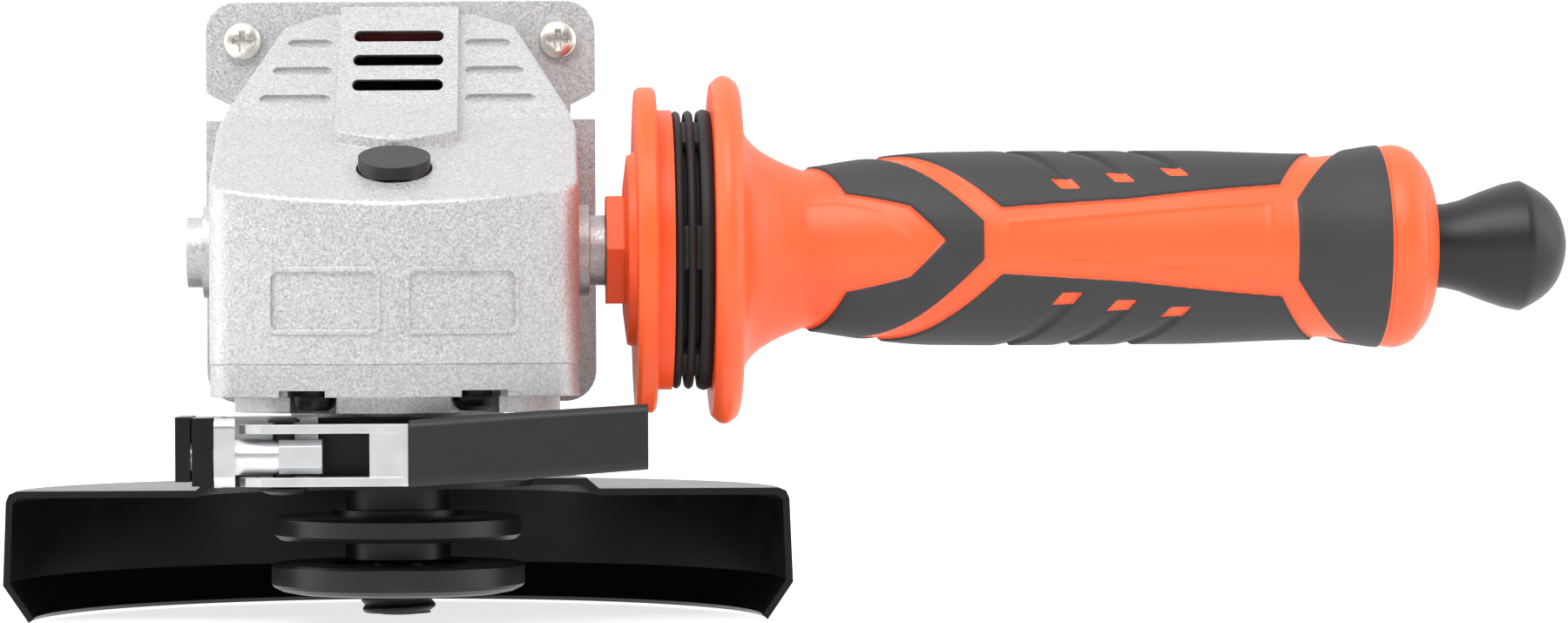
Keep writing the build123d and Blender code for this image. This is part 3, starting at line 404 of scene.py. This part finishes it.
# Outlines of the soft skin: place along the handle, and angle from the middle of the face.
CHEVRON = [(102.6, -3), (95.3, 22), (83.6, 34.5), (75.8, 100), (82.0, 100), (108.8, 11.5), (108.8, -3)]
PANEL = [(112.2, 20), (87.2, 100), (173.5, 100), (164.2, 37), (136.2, 25.5)]
TAIL = [(167.0, -3), (167.0, 25.5), (180.9, 100), (184.3, 100), (184.3, -3)]
INSET = [(113.6, -3), (113.6, 10.5), (161.8, 24), (161.8, -3)]
ARROW = [(60.0, -3), (60.0, 32), (82.0, 28), (89.5, 20), (97.2, -3)]
FIRST_WINDOW = (123.4, 32.5)
WINDOW_STEP = (10.2, 5.2)
WINDOW_WIDTH, WINDOW_REACH, WINDOW_LEAN = 3.8, 8.5, 0.22
SKIN_R = 18.0


def unroll(outline):
    return [(x, math.radians(a) * SKIN_R) for x, a in outline]


def skin_layout(x, angles, turn):
    """Soft-skin distance (mm, positive on skin) and the relief of the details on it."""
    a = np.degrees(angles) - turn
    a = np.abs((a + 180) % 360 - 180)
    a = np.where(a > 90, 180 - a, a)
    s = np.radians(a) * SKIN_R
    xs = np.full(a.shape, x)
    skin = np.maximum.reduce([inside(xs, s, unroll(o)) for o in (CHEVRON, PANEL, TAIL)])
    relief = np.zeros(a.shape)
    for i in range(3):
        x0 = FIRST_WINDOW[0] + i * WINDOW_STEP[0]
        a0 = FIRST_WINDOW[1] + i * WINDOW_STEP[1]
        lean = WINDOW_LEAN * WINDOW_REACH
        window = [(x0, a0), (x0 + WINDOW_WIDTH, a0), (x0 + WINDOW_WIDTH - lean, a0 + WINDOW_REACH),
                  (x0 - lean, a0 + WINDOW_REACH)]
        skin = np.minimum(skin, -inside(xs, s, unroll(window)))
        across = (x - (x0 - WINDOW_LEAN * (a - a0))) / WINDOW_WIDTH
        beyond = step(a, a0 + WINDOW_REACH - 1, a0 + WINDOW_REACH + 1)
        ramp = np.clip(across, 0, 1) * (1 - step(across, 0.97, 1.09))
        relief -= 0.75 * ramp * beyond
    inset, arrow = (inside(xs, s, unroll(o)) for o in (INSET, ARROW))
    relief += 0.16 * np.exp(-(inset / 0.35) ** 2) - 0.10 * step(inset, 0, 0.6)
    relief += 0.22 * step(arrow, -0.2, 0.5) * step(x, 70, 78)
    return skin, relief


def grip_rows(row_gap):
    """Closed outline of the grip: hub, big disc, waist, grip, end ring and the key's bore."""
    rows = [(66.0, 0), (66.0, 4.1), (53.1, 4.1), (53.1, 6.2), (50.2, 6.2), (50.2, 12.0), (58.9, 12.0),
            (58.9, 29.0), (59.0, 31.2)]
    rows += arc_rows((59.0, 31.2), (63.8, 31.4), 1.45)
    rows += [(64.3, 30.2), (64.4, 27.4)]
    rows += [(64.4 + 12.6 * t ** 1.9, 27.4 - 12.8 * t ** 0.62) for t in np.linspace(0.01, 0.97, 18)]
    xs = np.arange(77.0, 184.3, row_gap)
    known_x, known_r = zip(*GRIP_OUTLINE)
    radius = np.interp(xs, known_x, known_r)
    soften = np.ones(13) / 13
    padded = np.pad(radius, 6, mode="edge")
    rows += list(zip(xs, np.convolve(padded, soften, mode="valid")))
    rows += [(184.5, 18.9), (184.6, 18.6)]
    rows += arc_rows((184.8, 18.7), (190.6, 17.8), 0.75)
    rows += arc_rows((190.8, 17.4), (194.2, 10.4), 0.8, 10)
    rows += [(194.2, 5.2), (120.0, 5.2), (120.0, 0)]
    return rows


def make_grip(sizes, colours):
    first, last = GRIP_OUTLINE[0][0], GRIP_OUTLINE[-1][0]
    lift = sizes.skin_lift / MM

    def swell(x, angles):
        if not first - 0.6 <= x <= last + 0.1:
            return np.zeros(angles.shape)
        skin, relief = skin_layout(x, angles, sizes.handle_turn)
        return relief + lift * (step(skin, -0.25, 0.25) - 1)

    grip = lathe("handle_grip", grip_rows(0.5), 300, "X", HANDLE_Z, swell, 50)
    points = np.empty(len(grip.data.vertices) * 3)
    grip.data.vertices.foreach_get("co", points)
    points = points.reshape(-1, 3) / MM
    angles = np.arctan2(points[:, 2] - HANDLE_Z, -points[:, 1])
    values = np.full(len(points), -2.0)
    outer = (points[:, 0] > first - 0.1) & (points[:, 0] <= last)
    outer &= np.hypot(points[:, 1], points[:, 2] - HANDLE_Z) > 10
    for x in np.unique(points[outer, 0]):
        row = outer & (points[:, 0] == x)
        values[row] = skin_layout(x, angles[row], sizes.handle_turn)[0]
    attribute = grip.data.attributes.new("skin", "FLOAT", "POINT")
    attribute.data.foreach_set("value", np.clip(values, -2, 2).astype(np.float32))
    grip.data.materials.append(two_shot("two_shot_grip", colours.orange, colours.grip))
    return fit(grip, "housing", "orange_plastic", "handle_core", "handle_overmould")


def make_key(colours):
    """The key pushed into the tail of the handle: a neck that flares into a domed end."""
    neck = [(194.6, 7.9), (197.0, 7.9), (200.0, 8.6), (204.0, 10.2), (208.0, 11.6), (210.6, 12.15)]
    rows = [(125.0, 0), (125.0, 3.6), (126.0, 4.6), (194.6, 4.6)] + neck
    rows += arc_rows((211.2, 12.2), (219.9, 1.2), 2.1, 12) + [(219.95, 0)]
    key = lathe("handle_key_moulding", rows, 96, "X", HANDLE_Z)
    key.data.materials.append(moulded("key_moulding", colours.black, 0.34, 0.4, 0.012))
    return fit(key, "key", "black_plastic", "handle_key")


def make_damper(colours):
    """Ribbed rubber ring between the two discs."""
    rows = [(51.6, 14.0), (51.6, 25.6)]
    for x0, x1, top in ((51.7, 53.2, 26.1), (54.0, 55.5, 26.2), (56.4, 58.8, 26.4)):
        rows += arc_rows((x0, top - 0.5), (x1, top - 0.5), 0.5, 6)
        rows += [(x1 + 0.12, 23.0), (min(x1 + 0.68, 58.88), 23.0)]
    rows = rows[:-2] + [(58.88, 25.6), (58.88, 14.0), (51.6, 14.0)]
    damper = lathe("damper_ring", rows, 128, "X", HANDLE_Z)
    damper.data.materials.append(paint_of("black_rubber", colours))
    return fit(damper, "housing", "black_rubber", "handle_damper")


def ring_of_bars(name):
    """Node tree: equal bars set round the X axis at a height."""
    tree = bpy.data.node_groups.new(name, "GeometryNodeTree")
    wants = (("Count", "NodeSocketInt"), ("Radius", "NodeSocketFloat"), ("Bar Size", "NodeSocketVector"),
             ("Centre", "NodeSocketVector"), ("Finish", "NodeSocketMaterial"))
    for label, kind in wants:
        tree.interface.new_socket(label, in_out="INPUT", socket_type=kind)
    tree.interface.new_socket("Geometry", in_out="OUTPUT", socket_type="NodeSocketGeometry")
    node, link = tree.nodes.new, tree.links.new
    given, result = node("NodeGroupInput"), node("NodeGroupOutput")
    line, bar = node("GeometryNodeMeshLine"), node("GeometryNodeMeshCube")
    lift = node("GeometryNodeTransform")
    index, share, turn = node("GeometryNodeInputIndex"), node("ShaderNodeMath"), node("ShaderNodeMath")
    offset, tilt = node("ShaderNodeCombineXYZ"), node("ShaderNodeCombineXYZ")
    spread, place = node("GeometryNodeInstanceOnPoints"), node("GeometryNodeTransform")
    real, finish = node("GeometryNodeRealizeInstances"), node("GeometryNodeSetMaterial")
    share.operation, turn.operation = "DIVIDE", "MULTIPLY"
    share.inputs[0].default_value = 2 * math.pi
    link(given.outputs["Count"], line.inputs["Count"])
    line.inputs["Offset"].default_value = (0, 0, 0)
    link(given.outputs["Bar Size"], bar.inputs["Size"])
    link(given.outputs["Radius"], offset.inputs["Y"])
    link(bar.outputs["Mesh"], lift.inputs["Geometry"])
    link(offset.outputs[0], lift.inputs["Translation"])
    link(given.outputs["Count"], share.inputs[1])
    link(index.outputs[0], turn.inputs[0])
    link(share.outputs[0], turn.inputs[1])
    link(turn.outputs[0], tilt.inputs["X"])
    link(line.outputs["Mesh"], spread.inputs["Points"])
    link(lift.outputs["Geometry"], spread.inputs["Instance"])
    link(tilt.outputs[0], spread.inputs["Rotation"])
    link(spread.outputs["Instances"], place.inputs["Geometry"])
    link(given.outputs["Centre"], place.inputs["Translation"])
    link(place.outputs["Geometry"], real.inputs["Geometry"])
    link(real.outputs["Geometry"], finish.inputs["Geometry"])
    link(given.outputs["Finish"], finish.inputs["Material"])
    link(finish.outputs["Geometry"], result.inputs[0])
    return tree


def from_tree(name, tree, values, bevel=0.0):
    """Runs a node tree on an empty mesh with its inputs set by name, and keeps a plain mesh."""
    carrier = bpy.data.objects.new(name + "_maker", bpy.data.meshes.new(name + "_maker"))
    bpy.context.scene.collection.objects.link(carrier)
    nodes = carrier.modifiers.new("maker", "NODES")
    nodes.node_group = tree
    for item in tree.interface.items_tree:
        if item.in_out == "INPUT":
            nodes[item.identifier] = values[item.name]
    if bevel:
        rounding = carrier.modifiers.new("rounding", "BEVEL")
        rounding.width, rounding.segments = bevel, 2
    ready = carrier.evaluated_get(bpy.context.evaluated_depsgraph_get())
    mesh = bpy.data.meshes.new_from_object(ready)
    bpy.data.objects.remove(carrier)
    return show(name, mesh)


def make_damper_bars(sizes, colours):
    values = {"Count": sizes.damper_bars, "Radius": -23.9 * MM, "Bar Size": Vector((6.6, 2.4, 8.0)) * MM,
              "Centre": Vector((55.2, 0, HANDLE_Z)) * MM, "Finish": paint_of("black_rubber", colours)}
    bars = from_tree("damper_bars", ring_of_bars("ring_of_bars"), values, 0.25 * MM)
    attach(bars, "housing")
    return bars


# ---- spindle -----------------------------------------------------------------------------------
def make_spindle(sizes, colours):
    """The spindle with its cut thread; everything above the thread is a plain turned shaft."""
    pitch, depth = sizes.thread_pitch / MM, sizes.thread_depth / MM
    low, high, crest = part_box("spindle")[0].z / MM - SEAT_Z, -10.6, 7.0

    def swell(z, angles):
        if not low + 0.3 <= z <= high:
            return np.zeros(angles.shape)
        turn = (z / pitch - angles / (2 * math.pi)) % 1.0
        ridge = np.clip(1.25 - 2.5 * np.abs(turn - 0.5), 0, 1)
        return depth * (ridge - 1) - 0.6 * (1 - step(np.full(angles.shape, z), low, low + 1.6))

    rows = [(low, 0), (low, 3.2), (low + 0.25, 3.6), (low + 0.25, 5.4)]
    rows += [(z, crest) for z in np.arange(low + 0.3, high, 0.14)]
    rows += [(-10.5, 6.0), (-4.2, 6.0), (-4.2, 7.6), (5.6, 7.6), (5.6, 9.7)]
    rows += [(29.5, 9.7), (29.5, 8.0), (33.0, 8.0), (33.0, 6.0),
             (46.5, 6.0), (46.5, 6.5), (57.5, 6.5), (57.5, 4.9), (67.2, 4.9), (67.2, 4.0), (73.4, 4.0),
             (74.0, 3.4), (74.0, 0)]
    spindle = lathe("threaded_spindle", rows, 128, "Z", SEAT_Z, swell, 30)
    spindle.data.materials.append(turned_steel("thread_black", colours.blackened, 0.3, 0.4, 0.8))
    return fit(spindle, "spindle_group", "black_steel", "spindle")


# ---- flange screws -----------------------------------------------------------------------------
def make_screws(sizes, colours):
    """Domed screws with a cross recess, heads towards -Y, in the corners of the gear head's flange."""
    head_r, head_h, shank_r, rim = 3.8, 2.6, 2.0, 0.9
    low, high = (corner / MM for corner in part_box("flange_screws"))
    rows = [(-head_h, 0)]
    rows += [(-rim - (head_h - rim) * math.sqrt(1 - (r / head_r) ** 2), r)
             for r in np.linspace(0.15, head_r, 26)]
    rows += [(0, head_r), (0, shank_r), (high.y - low.y - head_h, shank_r), (high.y - low.y - head_h, 0)]
    one = lathe("one_screw", rows, 96)
    count = len(one.data.vertices)
    flat = np.empty(count * 3)
    one.data.vertices.foreach_get("co", flat)
    points, corners = flat.reshape(-1, 3) / MM, [tuple(p.vertices) for p in one.data.polygons]
    bpy.data.objects.remove(one)
    across, up = np.abs(points[:, 1]), np.abs(points[:, 2])
    arm = np.minimum(across, up) < 0.55
    reach = np.maximum(across, up)
    cross = arm * (1 - step(reach, sizes.recess_reach - 0.5, sizes.recess_reach))
    cross = np.maximum(cross, 1 - step(np.hypot(across, up), 0.8, 1.1))
    points[:, 0] += np.where(points[:, 0] < -rim, cross * sizes.recess_depth, 0)
    verts, faces = [], []
    for i, (x, z) in enumerate((x, z) for x in (low.x + head_r, high.x - head_r)
                               for z in (low.z + head_r, high.z - head_r)):
        placed = np.stack([points[:, 1] + x, points[:, 0] + low.y + head_h, points[:, 2] + z], 1) * MM
        verts += [tuple(v) for v in placed]
        faces += [tuple(v + i * count for v in corner) for corner in corners]
    screws = object_from("cross_screws", verts, faces, 30)
    screws.data.materials.append(paint_of("nickel_screw", colours))
    return fit(screws, "housing", "nickel_screw", "flange_screws")


# ---- stage -------------------------------------------------------------------------------------
def make_floor():
    """Flat, pale, faintly glowing floor, wide enough for any view."""
    low, reach = CAD_BOX[0].z - 0.0005, 6.0
    verts = [(-reach, -reach, low), (reach, -reach, low), (reach, reach, low), (-reach, reach, low)]
    faces = [(0, 1, 2, 3)]
    mesh = bpy.data.meshes.new("floor")
    mesh.from_pydata(verts, [], faces)
    floor = show("floor", mesh, 60)
    paper = Finish("backdrop_paper", Roughness=0.9, Emission_Strength=0.78)
    paper.feed("Emission Color", paper.blend(paper.noise(300.0), (0.98, 0.98, 0.98), (1, 1, 1)))
    paper.feed("Base Color", paper.blend(paper.noise(300.0), (0.45, 0.45, 0.45), (0.47, 0.47, 0.47)))
    floor.data.materials.append(paper.material)


def make_lamp(name, place, aim, size, watts):
    light = bpy.data.lights.new(name, "AREA")
    light.shape, light.size, light.size_y, light.energy = "RECTANGLE", size[0], size[1], watts
    lamp = bpy.data.objects.new(name, light)
    lamp.location = place
    lamp.rotation_euler = (Vector(aim) - Vector(place)).to_track_quat("-Z", "Y").to_euler()
    bpy.context.scene.collection.objects.link(lamp)


def make_sky(strength):
    """Even white surroundings, dimmer from the side the camera is on."""
    world = bpy.data.worlds.new("studio")
    bpy.context.scene.world = world
    world.use_nodes = True
    nodes, link = world.node_tree.nodes, world.node_tree.links.new
    sky = nodes["Background"]
    where, split, ramp = (nodes.new("ShaderNodeNewGeometry"), nodes.new("ShaderNodeSeparateXYZ"),
                          nodes.new("ShaderNodeMapRange"))
    link(where.outputs["Incoming"], split.inputs[0])
    link(split.outputs["Y"], ramp.inputs["Value"])
    ramp.interpolation_type = "SMOOTHSTEP"
    ramp.inputs["From Min"].default_value = 0.95
    ramp.inputs["From Max"].default_value = 0.1
    ramp.inputs["To Min"].default_value = 0.10 * strength
    ramp.inputs["To Max"].default_value = strength
    link(ramp.outputs["Result"], sky.inputs["Strength"])
    sky.inputs["Color"].default_value = (1.0, 1.0, 1.0, 1.0)


def make_camera():
    """Level camera 0.87 m in front of the spindle, a little above the wheel."""
    data = bpy.data.cameras.new("camera")
    data.sensor_width, data.lens = 36.0, 106.1
    data.shift_x, data.shift_y = 0.179, 0.0125
    data.clip_start, data.clip_end = 0.05, 50.0
    camera = bpy.data.objects.new("camera", data)
    camera.location = (0.020, -0.870, 0.0389 + SEAT_Z * MM)
    camera.rotation_euler = (math.radians(90), math.radians(0.3), 0)
    bpy.context.scene.collection.objects.link(camera)
    bpy.context.scene.camera = camera


# ---- settings, operators and panel -------------------------------------------------------------
def colour_setting(label, told, value):
    return bpy.props.FloatVectorProperty(name=label, description=told, default=value, subtype="COLOR",
                                         size=3, min=0.0, max=1.0)


class GrinderColours(bpy.types.PropertyGroup):
    silver: colour_setting("Silver", "Paint on the cast gear head", (0.52, 0.52, 0.525))
    nickel: colour_setting("Nickel", "Flange screws", (0.70, 0.68, 0.62))
    steel: colour_setting("Steel", "Shafts, gears and bearings", (0.56, 0.57, 0.58))
    zinc: colour_setting("Zinc", "Clamp lever, its pin and plate", (0.66, 0.67, 0.68))
    blackened: colour_setting("Blackened steel", "Spindle, flange, nut and cover screws",
                              (0.022, 0.022, 0.024))
    enamel: colour_setting("Enamel", "Wheel guard and its collar", (0.004, 0.004, 0.0045))
    black: colour_setting("Black plastic", "Button, sleeve and key", (0.012, 0.012, 0.013))
    grip: colour_setting("Soft skin", "Soft parts of the side handle", (0.022, 0.022, 0.023))
    orange: colour_setting("Orange", "Hard parts of the side handle", (0.88, 0.10, 0.020))
    body: colour_setting("Body", "Motor housing and rear grip", (0.022, 0.023, 0.025))
    baffle: colour_setting("Baffle", "Air baffle behind the vent slots", (0.28, 0.018, 0.014))
    copper: colour_setting("Copper", "Windings and commutator", (0.72, 0.30, 0.14))
    bronze: colour_setting("Bronze", "Bush and brush holders", (0.60, 0.40, 0.18))
    felt: colour_setting("Felt", "Dust seal", (0.42, 0.40, 0.35))


class GrinderSizes(bpy.types.PropertyGroup):
    skin_lift: bpy.props.FloatProperty(name="Skin lift", description="How far the soft skin stands proud",
                                       default=0.0007, unit="LENGTH")
    handle_turn: bpy.props.FloatProperty(name="Handle turn", description="Where the screwed-in handle stops",
                                         default=4.0)
    damper_bars: bpy.props.IntProperty(name="Damper bars", description="Bars across the damper's grooves",
                                       default=6, min=3)
    thread_pitch: bpy.props.FloatProperty(name="Thread pitch", description="Pitch of the spindle thread",
                                          default=0.002, unit="LENGTH")
    thread_depth: bpy.props.FloatProperty(name="Thread depth", description="Depth of the spindle thread",
                                          default=0.0007, unit="LENGTH")
    recess_reach: bpy.props.FloatProperty(name="Recess reach", default=2.1, min=0.5,
                                          description="Half width of the screws' cross, mm")
    recess_depth: bpy.props.FloatProperty(name="Recess depth", description="Depth of the screws' cross, mm",
                                          default=1.1, min=0.0)
    sky: bpy.props.FloatProperty(name="Surroundings", description="Brightness of the white surroundings",
                                 default=1.25, min=0.0)


def settings(context):
    return context.scene.grinder_sizes, context.scene.grinder_colours


class GRINDER_OT_finishes(bpy.types.Operator):
    """Give every carried-over part the finish of its material slot"""
    bl_idname = "grinder.finishes"
    bl_label = "Part finishes"

    def execute(self, context):
        colours = settings(context)[1]
        for name, part in frame["nodes"].items():
            finish = paint_of(SLOT_OF[name], colours)
            for material_slot in part.material_slots:
                material_slot.material = finish
            if not part.material_slots:
                raise RuntimeError(f"{name} has no material slot")
        return {"FINISHED"}


class GRINDER_OT_grip(bpy.types.Operator):
    """Mould the two-colour grip of the side handle"""
    bl_idname = "grinder.grip"
    bl_label = "Handle grip"

    def execute(self, context):
        make_grip(*settings(context))
        return {"FINISHED"}


class GRINDER_OT_key(bpy.types.Operator):
    """Mould the key in the handle's tail"""
    bl_idname = "grinder.key"
    bl_label = "Handle key"

    def execute(self, context):
        make_key(settings(context)[1])
        return {"FINISHED"}


class GRINDER_OT_damper(bpy.types.Operator):
    """Mould the ribbed damper between the handle's discs, with its cross bars"""
    bl_idname = "grinder.damper"
    bl_label = "Damper"

    def execute(self, context):
        sizes, colours = settings(context)
        make_damper(colours)
        make_damper_bars(sizes, colours)
        return {"FINISHED"}


class GRINDER_OT_spindle(bpy.types.Operator):
    """Cut the thread on the spindle"""
    bl_idname = "grinder.spindle"
    bl_label = "Threaded spindle"

    def execute(self, context):
        make_spindle(*settings(context))
        return {"FINISHED"}


class GRINDER_OT_screws(bpy.types.Operator):
    """Make the cross-recessed screws of the gear head's flange"""
    bl_idname = "grinder.screws"
    bl_label = "Flange screws"

    def execute(self, context):
        make_screws(*settings(context))
        return {"FINISHED"}


class GRINDER_OT_stage(bpy.types.Operator):
    """Set the floor, the lights and the camera"""
    bl_idname = "grinder.stage"
    bl_label = "Stage"

    def execute(self, context):
        sizes = settings(context)[0]
        context.scene.view_settings.view_transform = "Standard"
        make_floor()
        make_sky(sizes.sky)
        make_lamp("key_light", (-0.35, -0.9, 1.25), (0.05, 0.0, 0.04), (1.6, 0.9), 26.0)
        make_lamp("right_light", (1.6, -0.2, 0.6), (0.05, 0.0, 0.04), (1.0, 1.2), 8.0)
        make_lamp("left_light", (-1.5, 0.1, 0.5), (0.0, 0.0, 0.04), (1.0, 1.2), 8.0)
        make_camera()
        return {"FINISHED"}


class GRINDER_PT_panel(bpy.types.Panel):
    """Sizes, colours and steps of the grinder"""
    bl_idname = "GRINDER_PT_panel"
    bl_label = "Angle grinder"
    bl_space_type = "VIEW_3D"
    bl_region_type = "UI"
    bl_category = "Grinder"

    def draw(self, context):
        for group in settings(context):
            box = self.layout.box()
            for key in group.__annotations__:
                box.prop(group, key)
        for operator in STEPS:
            self.layout.operator(operator.bl_idname)


STEPS = (GRINDER_OT_finishes, GRINDER_OT_grip, GRINDER_OT_key, GRINDER_OT_damper, GRINDER_OT_spindle,
         GRINDER_OT_screws, GRINDER_OT_stage)
CLASSES = (GrinderColours, GrinderSizes, *STEPS, GRINDER_PT_panel)


def register():
    for each in CLASSES:
        bpy.utils.register_class(each)
    bpy.types.Scene.grinder_sizes = bpy.props.PointerProperty(type=GrinderSizes)
    bpy.types.Scene.grinder_colours = bpy.props.PointerProperty(type=GrinderColours)


def unregister():
    del bpy.types.Scene.grinder_colours
    del bpy.types.Scene.grinder_sizes
    for each in reversed(CLASSES):
        bpy.utils.unregister_class(each)


def main():
    register()
    for operator in STEPS:
        getattr(bpy.ops.grinder, operator.bl_idname.split(".")[1])()


if __name__ == "__main__":
    main()
